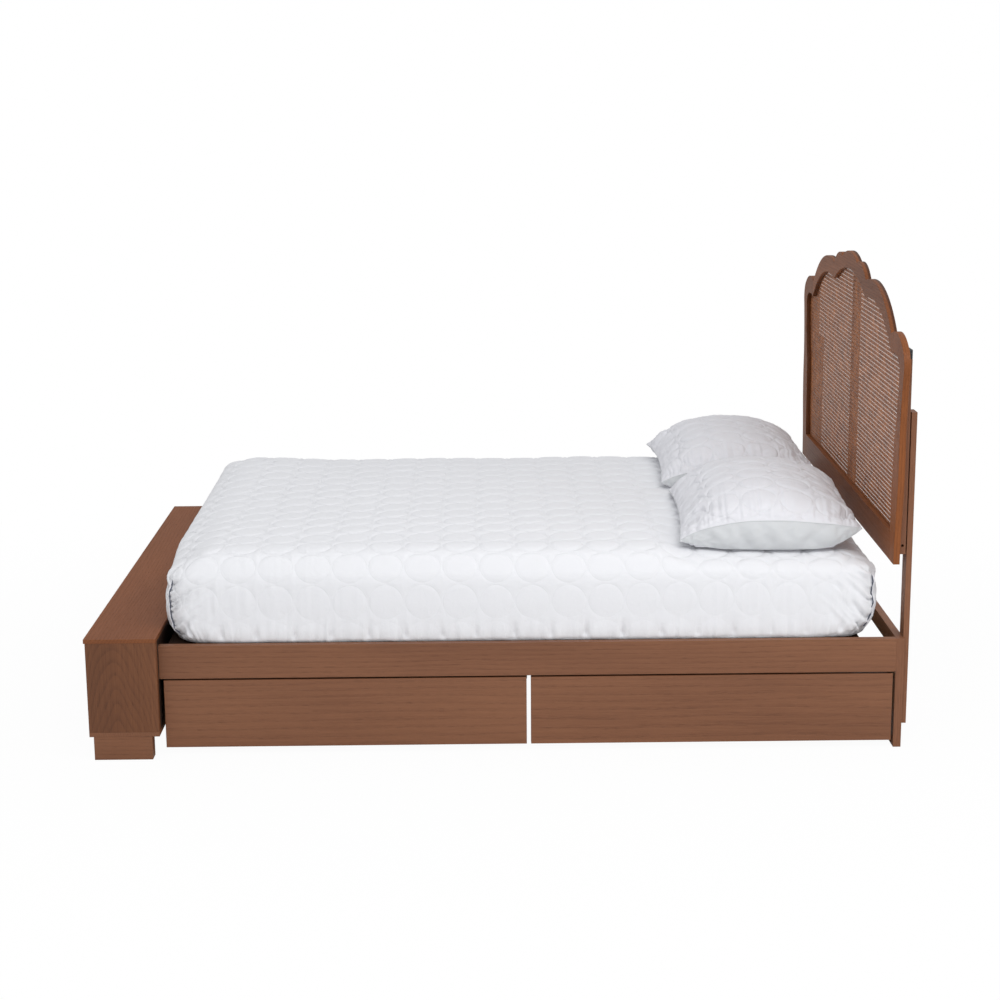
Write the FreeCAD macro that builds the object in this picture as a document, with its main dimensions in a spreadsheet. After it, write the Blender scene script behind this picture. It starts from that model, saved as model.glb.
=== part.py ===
import FreeCAD, Part
import os
import re
import Sketcher
from FreeCAD import Vector

# A queen platform bed: a box of open shelves across the foot, a slatted platform with four drawers on
# casters under it, two per side, and a scalloped headboard with a woven cane panel, bolted to two posts.
# +X runs from foot to head, +Z is up, and the origin is on the floor under the middle of the bed.
# Left is +Y and right is -Y, as seen from the foot. All sizes are in millimetres.

DIMENSIONS = {
    # platform
    "bay_length": 2060,       # clear length between the shelf box and the head legs
    "rail_out": 800,          # half width over the side rails
    "board_thk": 22,          # side rails, head legs, ends of the shelf box
    "rail_low": 222,
    "rail_top": 318,
    "head_rail_low": 270,
    "head_leg_width": 110,
    "ledger_thk": 20,
    "ledger_tall": 40,
    "ledger_clear": 10,
    "slat_top": 310,
    "slat_thk": 18,
    "slat_width": 70,
    "slat_count": 14,
    "slat_end_gap": 2,
    "slat_foot_gap": 20,
    "slat_head_gap": 96,
    "beam_width": 44,
    "centre_leg_width": 264,
    # shelf box at the foot
    "box_deep": 196,
    "box_half": 840,
    "box_low": 67,
    "box_floor_thk": 13,
    "box_top": 350,
    "lid_thk": 12,
    "lid_over": 4,
    "divider_thk": 16,
    "bay_count": 4,
    "foot_long": 163,
    "foot_inset": 12,
    "foot_wide": 40,
    # headboard
    "post_thk": 16,
    "post_width": 50,
    "post_out": 783,
    "post_low": 65,
    "post_top": 956,
    "frame_thk": 18,
    "batten_thk": 18,
    "batten_low": 557,
    "batten_top": 1128,
    "cap_tall": 26,
    "spacer_thk": 3,
    "spacer_radius": 11,
    "frame_low": 531,
    "opening_low": 612,
    "opening_half_low": 733,
    "crest_half": 668,
    "rebate_wide": 8,
    "rebate_deep": 4,
    "cane_thk": 1.5,
    "cane_clear": 0.4,        # round the cane's edge, inside its rebate
    "centre_batten_width": 56,
    "centre_batten_low": 545,
    "centre_batten_top": 1290,
    "dowel_hole": 4,
    "dowel_high": 24,
    "dowel_deep": 30,
    # drawers
    "drawer_foot_gap": 11,
    "drawer_mid_gap": 12,
    "drawer_head_gap": 7,
    "front_low": 21,
    "front_top": 217,
    "front_thk": 18,
    "drawer_back": 133,       # from the bed's centre plane to the drawer's back
    "drawer_inset": 20,
    "side_thk": 12,
    "side_low": 44,
    "side_top": 205,
    "bottom_low": 50,
    "bottom_thk": 9,
    "groove_deep": 5,
    # casters
    "wheel_radius": 18,
    "wheel_width": 16,
    "wheel_bore": 3.05,
    "pin_radius": 3,
    "fork_gap": 18,
    "fork_thk": 2,
    "fork_wide": 16,
    "plate_long": 44,
    "plate_wide": 38,
    "caster_x": 90,           # from each end of the drawer box
    "caster_front": 110,      # from the back of the drawer front
    "caster_rear": 80,        # from the drawer's back
    # fasteners
    "bolt_radius": 4,
    "bolt_hole": 4.2,
    "bolt_head": 8,
    "bolt_head_thk": 5,
    "recess_clear": 0.3,
    "bracket_long": 60,
    "bracket_tall": 20,
    "bracket_thk": 3,
    "screw_head": 4.5,
    # bedding
    "mattress_foot_gap": 18,
    "mattress_length": 1993,
    "mattress_half": 762,
    "mattress_low": 310.3,
    "mattress_top": 548,
    "mattress_corner": 90,
    "mattress_edge": 40,
    "pillow_low": 548.5,
    "pillow_thick": 160,
    "pillow_long": 505,
    "pillow_wide": 690,
    "pillow_left_gap": 70,
    "pillow_right_gap": -18,
    "pillow_head_gap": 55,
    "pillow_round": 65,
}

doc = FreeCAD.newDocument("platform_bed")
sheet = doc.addObject("Spreadsheet::Sheet", "Dims")
for row, (word, value) in enumerate(DIMENSIONS.items(), 1):
    sheet.set(f"A{row}", word)
    sheet.set(f"B{row}", str(value))
    sheet.setAlias(f"B{row}", word)
doc.recompute()

NODES = []


# ---------------------------------------------------------------- places, as formulas of the sheet's words

OVERALL = "(lid_over + box_deep + bay_length + board_thk + post_thk)"
LID_X = f"(-{OVERALL} / 2)"
BOX_X = f"({LID_X} + lid_over)"
BAY_X = f"({BOX_X} + box_deep)"
LEG_X = f"({BAY_X} + bay_length)"
POST_X = f"({LEG_X} + board_thk)"
BATTEN_X = f"({POST_X} - spacer_thk - batten_thk)"
FRAME_X = f"({BATTEN_X} - frame_thk)"
MATTRESS_X = f"({BAY_X} + mattress_foot_gap)"
BOX_FLOOR = "(box_low + box_floor_thk)"
LID_LOW = "(box_top - lid_thk)"
SLAT_LOW = "(slat_top - slat_thk)"
RAIL_IN = "(rail_out - board_thk)"
FRONT_LENGTH = "((bay_length - drawer_foot_gap - drawer_mid_gap - drawer_head_gap) / 2)"
FRONT_IN = "(rail_out - front_thk)"
DRAWER_X = {
    "foot": f"({BAY_X} + drawer_foot_gap)",
    "head": f"({BAY_X} + drawer_foot_gap + {FRONT_LENGTH} + drawer_mid_gap)",
}
SIDES = {"left": 1, "right": -1}


def formula(text):
    """The same text with each word made a cell of the sheet."""
    return re.sub(r"[a-z_]{2,}", lambda word: "Dims." + word.group(0), str(text))


def number(text):
    """What the formula comes to, for geometry that is worked out here."""
    return float(sheet.evalExpression(formula(text)))


def across(side, low, width):
    """Where a piece of this width starts along Y, on the left or mirrored to the right."""
    return f"({low})" if side > 0 else f"(-({low}) - ({width}))"


# ---------------------------------------------------------------- kinds of object

def place(item, at):
    for axis, text in zip("xyz", at):
        item.setExpression("Placement.Base." + axis, formula(text))
    return item


def keep(item, node):
    """Names a sub-part after its node, and lists it to be written."""
    item.Label = node
    NODES.append(item)
    return item


def box(name, size, at):
    """A board, block or cutting box, with every size bound to the sheet."""
    item = doc.addObject("Part::Box", name)
    for side, text in zip(("Length", "Width", "Height"), size):
        item.setExpression(side, formula(text))
    return place(item, at)


def rod(name, radius, length, at, axis):
    """A cylinder along +X, +Y or +Z."""
    item = doc.addObject("Part::Cylinder", name)
    item.setExpression("Radius", formula(radius))
    item.setExpression("Height", formula(length))
    turn = {"x": (Vector(0, 1, 0), 90), "y": (Vector(1, 0, 0), -90), "z": (Vector(0, 0, 1), 0)}[axis]
    item.Placement = FreeCAD.Placement(Vector(), FreeCAD.Rotation(*turn))
    return place(item, at)


def cut(name, base, tools):
    """base with each tool taken away."""
    tool = tools[0]
    if len(tools) > 1:
        tool = doc.addObject("Part::MultiFuse", name + "_tools")
        tool.Shapes = tools
    item = doc.addObject("Part::Cut", name)
    item.Base, item.Tool = base, tool
    return item


def fuse(name, shapes):
    item = doc.addObject("Part::MultiFuse", name)
    item.Shapes = shapes
    return item


def group(name, links):
    """Separate solids that share a node."""
    item = doc.addObject("Part::Compound", name)
    item.Links = links
    return item


def rounded(name, base, radius, wanted):
    """base with the edges that wanted(edge) picks rounded to a radius of the sheet."""
    doc.recompute()
    item = doc.addObject("Part::Fillet", name)
    item.Base = base
    size = number(radius)
    item.Edges = [(i, size, size) for i, edge in enumerate(base.Shape.Edges, 1) if wanted(edge)]
    return item


def outline_pad(name, edges, thickness, at):
    """A PartDesign body padded along +X from an outline in the YZ plane, made of lines and arcs."""
    body = doc.addObject("PartDesign::Body", name)
    plane = [part for part in body.Origin.OriginFeatures if part.Role == "YZ_Plane"][0]
    sketch = body.newObject("Sketcher::SketchObject", name + "_outline")
    sketch.AttachmentSupport = [(plane, "")]
    sketch.MapMode = "FlatFace"
    for edge in edges:
        points = [Vector(y, z, 0) for y, z in edge]
        sketch.addGeometry(Part.Arc(*points) if len(points) == 3 else Part.LineSegment(*points), False)
    for index in range(len(edges)):
        after = (index + 1) % len(edges)
        sketch.addConstraint(Sketcher.Constraint("Coincident", index, end_of(edges, index),
                                                 after, start_of(edges, after)))
    for index in range(len(edges)):
        sketch.addConstraint(Sketcher.Constraint("Block", index))
    pad = body.newObject("PartDesign::Pad", name + "_pad")
    pad.Profile = sketch
    pad.setExpression("Length", formula(thickness))
    body.Tip = pad
    return place(body, at)


def clockwise(edge):
    """True for an arc that a sketch stores from its last point to its first."""
    if len(edge) == 2:
        return False
    (ay, az), (by, bz), (cy, cz) = edge
    return (by - ay) * (cz - az) - (bz - az) * (cy - ay) < 0


def end_of(edges, index):
    return 1 if clockwise(edges[index]) else 2


def start_of(edges, index):
    return 2 if clockwise(edges[index]) else 1


# ---------------------------------------------------------------- shelf box at the foot

def make_foot_box():
    inner_height = f"({LID_LOW} - {BOX_FLOOR})"
    inner_half = "(box_half - board_thk)"
    back_x = f"({BAY_X} - divider_thk)"
    keep(box("foot_box_top", ("box_deep + lid_over", "2 * box_half", "lid_thk"),
             (LID_X, "-box_half", LID_LOW)), "foot_box_top")
    keep(box("foot_box_floor", ("box_deep", "2 * box_half", "box_floor_thk"),
             (BOX_X, "-box_half", "box_low")), "foot_box_floor")
    for word, side in SIDES.items():
        name = f"foot_box_end_{word}"
        keep(box(name, ("box_deep", "board_thk", inner_height),
                 (BOX_X, across(side, inner_half, "board_thk"), BOX_FLOOR)), name)
    keep(box("foot_box_back", ("divider_thk", f"2 * {inner_half}", inner_height),
             (back_x, f"-{inner_half}", BOX_FLOOR)), "foot_box_back")

    pitch = f"(2 * {inner_half} / bay_count)"
    dividers = [
        box(f"divider_{index}", ("box_deep - divider_thk - lid_over", "divider_thk", inner_height),
            (f"{BOX_X} + lid_over", f"-{inner_half} + {index} * {pitch} - divider_thk / 2", BOX_FLOOR))
        for index in range(1, int(sheet.bay_count))
    ]
    keep(group("dividers", dividers), "foot_box_dividers")

    starts = ("-box_half", "-foot_wide / 2", "box_half - foot_wide")
    feet = [
        box(f"foot_{index}", ("foot_long", "foot_wide", "box_low"), (f"{BOX_X} + foot_inset", start, "0"))
        for index, start in enumerate(starts)
    ]
    keep(group("feet", feet), "foot_box_feet")


# ---------------------------------------------------------------- platform

def make_platform():
    rail_tall = "(rail_top - rail_low)"
    ledgers = []
    for word, side in SIDES.items():
        name = f"side_rail_{word}"
        keep(box(name, ("bay_length", "board_thk", rail_tall),
                 (BAY_X, across(side, RAIL_IN, "board_thk"), "rail_low")), name)
        ledgers.append(
            box(f"ledger_{word}", ("bay_length - 2 * ledger_clear", "ledger_thk", "ledger_tall"),
                (f"{BAY_X} + ledger_clear", across(side, f"{RAIL_IN} - ledger_thk", "ledger_thk"),
                 f"{SLAT_LOW} - ledger_tall")))
    keep(group("ledgers", ledgers), "slat_ledgers")

    keep(box("head_rail", ("board_thk", "2 * (rail_out - head_leg_width)", "rail_top - head_rail_low"),
             (LEG_X, "-(rail_out - head_leg_width)", "head_rail_low")), "head_rail")

    beam_low = "rail_low"
    keep(box("centre_beam", ("bay_length", "beam_width", f"{SLAT_LOW} - {beam_low}"),
             (BAY_X, "-beam_width / 2", beam_low)), "centre_beam")
    quarters = (0.25, 0.5, 0.75)
    legs = [
        box(f"centre_leg_{index}", ("board_thk", "centre_leg_width", beam_low),
            (f"{BAY_X} + {share} * bay_length - board_thk / 2", "-centre_leg_width / 2", "0"))
        for index, share in enumerate(quarters)
    ]
    keep(group("centre_legs", legs), "centre_legs")

    half = f"({RAIL_IN} - slat_end_gap)"
    run = "(bay_length - slat_foot_gap - slat_head_gap - slat_width)"
    slats = [
        box(f"slat_{index}", ("slat_width", f"2 * {half}", "slat_thk"),
            (f"{BAY_X} + slat_foot_gap + {index} * {run} / (slat_count - 1)", f"-{half}", SLAT_LOW))
        for index in range(int(sheet.slat_count))
    ]
    keep(group("slats", slats), "slats")


def make_rail_brackets():
    """Steel angles that tie each side rail to the shelf box and to its head leg, and their bolts."""
    low = f"({SLAT_LOW} - ledger_tall - bracket_tall - 4)"
    angles, bolts = [], []
    for word, side in SIDES.items():
        in_y = f"({RAIL_IN} - bracket_thk)"
        for end in ("foot", "head"):
            tag = f"{end}_{word}"
            if end == "foot":
                plate_x, wing_x, head_x = BAY_X, BAY_X, f"({BAY_X} + bracket_thk)"
            else:
                plate_x = f"({LEG_X} - bracket_long)"
                wing_x = f"({LEG_X} - bracket_thk)"
                head_x = f"({LEG_X} - bracket_thk - bolt_head_thk)"
            plate = box(f"angle_plate_{tag}", ("bracket_long", "bracket_thk", "bracket_tall"),
                        (plate_x, across(side, in_y, "bracket_thk"), low))
            wing_y = f"({RAIL_IN} - bracket_long)"
            wing = box(f"angle_wing_{tag}", ("bracket_thk", "bracket_long", "bracket_tall"),
                       (wing_x, across(side, wing_y, "bracket_long"), low))
            angles.append(fuse(f"angle_{tag}", [plate, wing]))
            middle = f"({low} + bracket_tall / 2)"
            centre_y = f"({RAIL_IN} - bracket_long * 0.6)"
            bolts.append(rod(f"angle_bolt_{tag}", "screw_head", "bolt_head_thk",
                             (head_x, f"{side} * {centre_y}", middle), "x"))
            bolt_x = f"{plate_x} + bracket_long * {0.6 if end == 'foot' else 0.4}"
            start_y = across(side, f"{in_y} - bolt_head_thk", "bolt_head_thk")
            bolts.append(rod(f"rail_bolt_{tag}", "screw_head", "bolt_head_thk",
                             (bolt_x, start_y, middle), "y"))
    keep(group("angles", angles), "rail_brackets")
    keep(group("angle_bolts", bolts), "rail_bracket_bolts")


# ---------------------------------------------------------------- headboard

# Half outlines of the headboard, as (half width, height above the floor). The outer one has five lobes with
# small upright quirks between them, then eases in down the side; the inner one follows it at 56 mm or so.

CREST_TOP = 1322
CREST_OUTER = [
    ((-128, 1296), (0, CREST_TOP), (128, 1296)),
    ((128, 1296), (134, 1303)),
    ((134, 1303), (192, 1301), (270, 1261)),
    ((270, 1261), (280, 1265)),
    ((280, 1265), (466, 1260), (660, 1158)),
    ((660, 1158), (668, 1160)),
]
OPENING_TOP = [
    ((-265, 1210), (0, 1268), (265, 1210)),
    ((265, 1210), (470, 1206), (668, 1104)),
]
STILE_OUTER = [
    ((668, 1160), (744, 1167), (812, 1141)),
    ((812, 1141), (838, 1116), (846, 1082)),
    ((846, 1082), (829, 990), (820, 890)),
    ((820, 890), (822, 800), (812, 690)),
    ((812, 690), (801, 610), (797, 531)),
]
OPENING_SIDE = [
    ((668, 1104), (722, 1111), (770, 1100)),
    ((770, 1100), (785, 1080), (786, 1050)),
    ((786, 1050), (775, 965), (747, 865)),
    ((747, 865), (741, 740), (733, 612)),
]


def mirror(edges):
    """The edges on the other side, still in order round the outline."""
    return [tuple((-y, z) for y, z in reversed(edge)) for edge in reversed(edges)]


def reverse(edges):
    return [tuple(reversed(edge)) for edge in reversed(edges)]


def make_opening(name, grow, thickness, start_x):
    """The opening's shape, grown outwards and padded along +X."""
    low, half = sheet.opening_low, sheet.opening_half_low
    edges = (mirror(OPENING_SIDE) + mirror(OPENING_TOP[1:]) + OPENING_TOP + OPENING_SIDE
             + [((half, low), (-half, low))])
    curves = []
    for edge in edges:
        points = [Vector(0, y, z) for y, z in edge]
        curve = Part.Arc(*points) if len(points) == 3 else Part.LineSegment(*points)
        curves.append(curve.toShape())
    wire = Part.Wire(curves)
    if grow:
        wire = wire.makeOffset2D(grow, join=2)
    solid = Part.Face(wire).extrude(Vector(number(thickness), 0, 0))
    item = doc.addObject("Part::Feature", name)
    item.Shape = solid
    item.Placement.Base = Vector(number(start_x), 0, 0)
    return item


def make_headboard_frame():
    low, half = sheet.frame_low, sheet.opening_half_low
    crest_half, opening_low = sheet.crest_half, sheet.opening_low
    crest_edges = (mirror(CREST_OUTER[1:]) + CREST_OUTER + [((crest_half, 1160), (crest_half, 1104))]
                   + reverse(mirror(OPENING_TOP[1:]) + OPENING_TOP)
                   + [((-crest_half, 1104), (-crest_half, 1160))])
    stile_edges = (STILE_OUTER + [((797, low), (half, low)), ((half, low), (half, opening_low))]
                   + reverse(OPENING_SIDE) + [((crest_half, 1104), (crest_half, 1160))])
    at = (FRAME_X, "0", "0")
    cane_x = f"({FRAME_X} + frame_thk - rebate_deep)"
    rebate = make_opening("rebate", sheet.rebate_wide, "rebate_deep", cane_x)

    crest = outline_pad("crest_blank", crest_edges, "frame_thk", at)
    keep(cut("crest", crest, [rebate]), "headboard_crest_rail")
    for word, side in SIDES.items():
        edges = stile_edges if side > 0 else mirror(stile_edges)
        blank = outline_pad(f"stile_blank_{word}", edges, "frame_thk", at)
        keep(cut(f"stile_{word}", blank, [rebate]), f"headboard_stile_{word}")
    rail = box("bottom_rail_blank", ("frame_thk", "2 * opening_half_low", "opening_low - frame_low"),
               (FRAME_X, "-opening_half_low", "frame_low"))
    keep(cut("bottom_rail", rail, [rebate]), "headboard_bottom_rail")

    keep(make_opening("cane", sheet.rebate_wide - sheet.cane_clear, "cane_thk", cane_x), "cane_panel")
    bead_x = f"({cane_x} + cane_thk)"
    bead_thk = "(rebate_deep - cane_thk)"
    whole = make_opening("bead_blank", sheet.rebate_wide, bead_thk, bead_x)
    inside = make_opening("bead_hole", 0, bead_thk, bead_x)
    keep(cut("bead", whole, [inside]), "cane_bead")


def make_headboard_supports():
    """Battens on the back of the frame, plastic caps on them, posts behind, and what joins them."""
    batten_in = "(post_out - post_width)"
    batten_wood_top = "(batten_top - cap_tall)"
    keep(box("centre_batten", ("batten_thk", "centre_batten_width", "centre_batten_top - centre_batten_low"),
             (BATTEN_X, "-centre_batten_width / 2", "centre_batten_low")), "headboard_centre_batten")

    upper_bolts = ("batten_low + 60", "post_top - 60")
    lower_bolts = ("rail_low + 20", "rail_top - 24")
    middle = f"({batten_in} + post_width / 2)"
    head_thk = "(bolt_head_thk / 2)"
    head_x = f"({POST_X} + post_thk - {head_thk})"
    caps, spacers, bolts = [], [], []
    for word, side in SIDES.items():
        centre_y = f"{side} * {middle}"
        upper_holes = [rod(f"upper_hole_{word}_{i}", "bolt_hole", "batten_thk + spacer_thk + post_thk",
                           (BATTEN_X, centre_y, height), "x") for i, height in enumerate(upper_bolts)]
        lower_holes = [rod(f"lower_hole_{word}_{i}", "bolt_hole", "board_thk + post_thk",
                           (LEG_X, centre_y, height), "x") for i, height in enumerate(lower_bolts)]

        batten = box(f"batten_blank_{word}", ("batten_thk", "post_width", f"{batten_wood_top} - batten_low"),
                     (BATTEN_X, across(side, batten_in, "post_width"), "batten_low"))
        dowel = rod(f"dowel_hole_{word}", "dowel_hole", "dowel_deep",
                    (f"{BATTEN_X} + batten_thk / 2", across(side, "post_out - dowel_deep", "dowel_deep"),
                     "batten_low + dowel_high"), "y")
        keep(cut(f"batten_{word}", batten, upper_holes + [dowel]), f"headboard_batten_{word}")

        post = box(f"post_blank_{word}", ("post_thk", "post_width", "post_top - post_low"),
                   (POST_X, across(side, batten_in, "post_width"), "post_low"))
        recesses = [rod(f"recess_{word}_{i}", "bolt_head + recess_clear", head_thk, (head_x, centre_y, height), "x")
                    for i, height in enumerate(upper_bolts + lower_bolts)]
        keep(cut(f"post_{word}", post, upper_holes + lower_holes + recesses), f"headboard_post_{word}")

        leg = box(f"leg_blank_{word}", ("board_thk", "head_leg_width", "rail_top"),
                  (LEG_X, across(side, "rail_out - head_leg_width", "head_leg_width"), "0"))
        keep(cut(f"head_leg_{word}", leg, lower_holes), f"head_leg_{word}")

        caps.append(box(f"cap_{word}", ("batten_thk", "post_width", "cap_tall"),
                        (BATTEN_X, across(side, batten_in, "post_width"), batten_wood_top)))
        for index, height in enumerate(upper_bolts):
            disc = rod(f"spacer_disc_{word}_{index}", "spacer_radius", "spacer_thk",
                       (f"{BATTEN_X} + batten_thk", centre_y, height), "x")
            spacers.append(cut(f"spacer_{word}_{index}", disc, [upper_holes[index]]))
        shanks = [(height, BATTEN_X, "batten_thk + spacer_thk + post_thk") for height in upper_bolts]
        shanks += [(height, LEG_X, "board_thk + post_thk") for height in lower_bolts]
        for index, (height, start, length) in enumerate(shanks):
            shank = rod(f"shank_{word}_{index}", "bolt_radius", length, (start, centre_y, height), "x")
            head = rod(f"bolt_head_{word}_{index}", "bolt_head", head_thk, (head_x, centre_y, height), "x")
            bolts.append(fuse(f"bolt_{word}_{index}", [shank, head]))
    keep(group("caps", caps), "batten_caps")
    keep(group("spacers", spacers), "post_spacers")
    keep(group("post_bolts", bolts), "headboard_bolts")


# ---------------------------------------------------------------- drawers

def make_wheel(name, at):
    """A caster wheel turned about X: a crowned tread, a hub and a hollow between them."""
    radius, half = sheet.wheel_radius, sheet.wheel_width / 2
    bore = sheet.wheel_bore
    half_profile = [(half, bore), (half, 0.36 * radius), (0.6 * half, 0.42 * radius),
                    (0.6 * half, 0.70 * radius), (half, 0.76 * radius), (half, 0.93 * radius),
                    (0.8 * half, radius)]
    points = half_profile + [(-x, r) for x, r in reversed(half_profile)]
    body = doc.addObject("PartDesign::Body", name)
    origin = {part.Role: part for part in body.Origin.OriginFeatures}
    sketch = body.newObject("Sketcher::SketchObject", name + "_profile")
    sketch.AttachmentSupport = [(origin["XZ_Plane"], "")]
    sketch.MapMode = "FlatFace"
    for index, (x, r) in enumerate(points):
        after = points[(index + 1) % len(points)]
        sketch.addGeometry(Part.LineSegment(Vector(x, r, 0), Vector(*after, 0)), False)
    for index in range(len(points)):
        sketch.addConstraint(Sketcher.Constraint("Coincident", index, 2, (index + 1) % len(points), 1))
    turned = body.newObject("PartDesign::Revolution", name + "_turned")
    turned.Profile = sketch
    turned.ReferenceAxis = (origin["X_Axis"], [""])
    turned.Angle = 360
    body.Tip = turned
    return place(body, at)


def make_fork(name, x, y):
    """A plate with two ears and the riveted pin that the wheel turns on."""
    ear_long = "(bottom_low - wheel_radius)"
    plate = box(name + "_plate", ("plate_wide", "plate_long", "fork_thk"),
                (f"{x} - plate_wide / 2", f"{y} - plate_long / 2", "bottom_low - fork_thk"))
    parts = [plate]
    for tag, start in (("a", f"{x} - fork_gap / 2 - fork_thk"), ("b", f"{x} + fork_gap / 2")):
        parts.append(box(f"{name}_ear_{tag}", ("fork_thk", "fork_wide", ear_long),
                         (start, f"{y} - fork_wide / 2", "wheel_radius")))
        parts.append(rod(f"{name}_eye_{tag}", "fork_wide / 2", "fork_thk", (start, y, "wheel_radius"), "x"))
    parts.append(rod(name + "_pin", "pin_radius", "fork_gap + 4 * fork_thk",
                     (f"{x} - fork_gap / 2 - 2 * fork_thk", y, "wheel_radius"), "x"))
    return fuse(name, parts)


def make_drawer(end, word):
    side = SIDES[word]
    tag = f"drawer_{word}_{end}"
    x0 = DRAWER_X[end]
    box_x = f"({x0} + drawer_inset)"
    box_length = f"({FRONT_LENGTH} - 2 * drawer_inset)"
    depth = f"({FRONT_IN} - drawer_back)"
    bottom_length = f"({box_length} - 2 * side_thk + 2 * groove_deep)"
    bottom_depth = f"({depth} + groove_deep)"

    def bottom(name):
        return box(name, (bottom_length, bottom_depth, "bottom_thk"),
                   (f"{box_x} + side_thk - groove_deep", across(side, "drawer_back", bottom_depth), "bottom_low"))

    groove = bottom(tag + "_groove")
    front = box(tag + "_front_blank", (FRONT_LENGTH, "front_thk", "front_top - front_low"),
                (x0, across(side, FRONT_IN, "front_thk"), "front_low"))
    keep(cut(tag + "_front_cut", front, [groove]), tag + "_front")

    walls = []
    for place_word, start in (("a", box_x), ("b", f"{box_x} + {box_length} - side_thk")):
        wall = box(f"{tag}_side_blank_{place_word}", ("side_thk", depth, "side_top - side_low"),
                   (start, across(side, "drawer_back", depth), "side_low"))
        walls.append(cut(f"{tag}_side_{place_word}", wall, [groove]))
    above = "(bottom_low + bottom_thk)"
    walls.append(box(tag + "_back", (f"{box_length} - 2 * side_thk", "side_thk", f"side_top - {above}"),
                     (f"{box_x} + side_thk", across(side, "drawer_back", "side_thk"), above)))
    keep(group(tag + "_walls", walls), tag + "_sides")
    keep(bottom(tag + "_base"), tag + "_bottom")

    columns = (f"({box_x} + caster_x)", f"({box_x} + {box_length} - caster_x)")
    rows = {"front": f"({side} * ({FRONT_IN} - caster_front))", "rear": f"({side} * (drawer_back + caster_rear))"}
    forks = []
    for row, y in rows.items():
        wheels = []
        for index, x in enumerate(columns):
            forks.append(make_fork(f"{tag}_fork_{row}_{index}", x, y))
            wheels.append(make_wheel(f"{tag}_wheel_{row}_{index}", (x, y, "wheel_radius")))
        keep(group(f"{tag}_{row}_pair", wheels), f"{tag}_wheels_{row}")
    keep(group(tag + "_forks", forks), tag + "_caster_forks")


# ---------------------------------------------------------------- bedding

def upright(edge):
    return abs(edge.tangentAt(edge.FirstParameter).z) > 0.99


def make_bedding():
    tall = "(mattress_top - mattress_low)"
    block = box("mattress_block", ("mattress_length", "2 * mattress_half", tall),
                (MATTRESS_X, "-mattress_half", "mattress_low"))
    corners = rounded("mattress_corners", block, "mattress_corner", upright)
    soft = rounded("mattress_soft", corners, "mattress_edge", lambda edge: not upright(edge))
    keep(soft, "mattress")
    pillow_x = f"({FRAME_X} - pillow_head_gap - pillow_long)"
    for word, side in SIDES.items():
        cushion = box(f"pillow_block_{word}", ("pillow_long", "pillow_wide", "pillow_thick"),
                      (pillow_x, across(side, f"pillow_{word}_gap", "pillow_wide"), "pillow_low"))
        keep(rounded(f"pillow_soft_{word}", cushion, "pillow_round", lambda edge: True), f"pillow_{word}")


make_foot_box()
make_platform()
make_rail_brackets()
make_headboard_frame()
make_headboard_supports()
for side_word in SIDES:
    for end_word in DRAWER_X:
        make_drawer(end_word, side_word)
make_bedding()
doc.recompute()

faults = [item.Name for item in doc.Objects if {"Invalid", "Error"} & set(item.State)]
faults += [item.Label for item in NODES if item.Shape.isNull() or not item.Shape.isValid()]
if faults:
    raise SystemExit("faulty objects: " + ", ".join(faults))

os.makedirs("parts", exist_ok=True)
for item in NODES:
    item.Shape.exportStep(os.path.join("parts", item.Label + ".step"))
total = Part.makeCompound([item.Shape for item in NODES]).BoundBox
print(len(NODES), "sub-parts, box", [round(v, 2) for v in
      (total.XMin, total.XMax, total.YMin, total.YMax, total.ZMin, total.ZMax)])
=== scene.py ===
import math
from types import SimpleNamespace

import bpy
import numpy as np
from mathutils import Matrix, Vector


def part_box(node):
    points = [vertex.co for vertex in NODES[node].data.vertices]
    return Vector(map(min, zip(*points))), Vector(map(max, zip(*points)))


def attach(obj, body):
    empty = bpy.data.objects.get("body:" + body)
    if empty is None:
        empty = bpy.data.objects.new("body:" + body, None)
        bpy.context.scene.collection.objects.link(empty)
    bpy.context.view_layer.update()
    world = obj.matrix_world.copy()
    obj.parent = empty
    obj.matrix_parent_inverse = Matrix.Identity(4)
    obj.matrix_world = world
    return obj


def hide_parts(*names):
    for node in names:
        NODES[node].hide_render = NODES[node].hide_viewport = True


# A queen platform bed of stained ash with a cane headboard, made up with a quilted mattress cover and two
# pillows. +X runs from foot to head, right is -Y, +Z is up, and every length is in metres.

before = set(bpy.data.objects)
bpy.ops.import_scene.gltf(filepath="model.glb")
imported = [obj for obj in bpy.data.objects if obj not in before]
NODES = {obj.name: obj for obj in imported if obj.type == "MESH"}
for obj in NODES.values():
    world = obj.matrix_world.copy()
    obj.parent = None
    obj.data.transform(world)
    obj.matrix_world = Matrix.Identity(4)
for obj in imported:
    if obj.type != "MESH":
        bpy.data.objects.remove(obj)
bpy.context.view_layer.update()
MM = 0.001


# -------- small helpers

def srgb(red, green, blue):
    """A colour given as 0 to 255 display values, as the linear colour that a shader takes."""
    def linear(value):
        value = value / 255
        return value / 12.92 if value <= 0.04045 else ((value + 0.055) / 1.055) ** 2.4
    return (linear(red), linear(green), linear(blue), 1.0)


def smoothstep(low, high, value):
    """0 below low, 1 above high, and a smooth rise between them."""
    share = np.clip((value - low) / (high - low), 0.0, 1.0)
    return share * share * (3 - 2 * share)


def bell(value, width):
    """1 where value is 0, falling to nothing a few widths away."""
    return np.exp(-(value / width) ** 2)


def noise(u, v, seed):
    """Smooth noise from -1 to 1 over a plane, with features one unit across."""
    size = 64
    table = np.random.RandomState(seed).rand(size, size) * 2 - 1
    column, row = np.floor(u).astype(int), np.floor(v).astype(int)
    x, y = u - column, v - row
    x, y = x * x * (3 - 2 * x), y * y * (3 - 2 * y)

    def corner(i, j):
        return table[(column + i) % size, (row + j) % size]

    near = corner(0, 0) * (1 - x) + corner(1, 0) * x
    far = corner(0, 1) * (1 - x) + corner(1, 1) * x
    return near * (1 - y) + far * y


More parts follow.
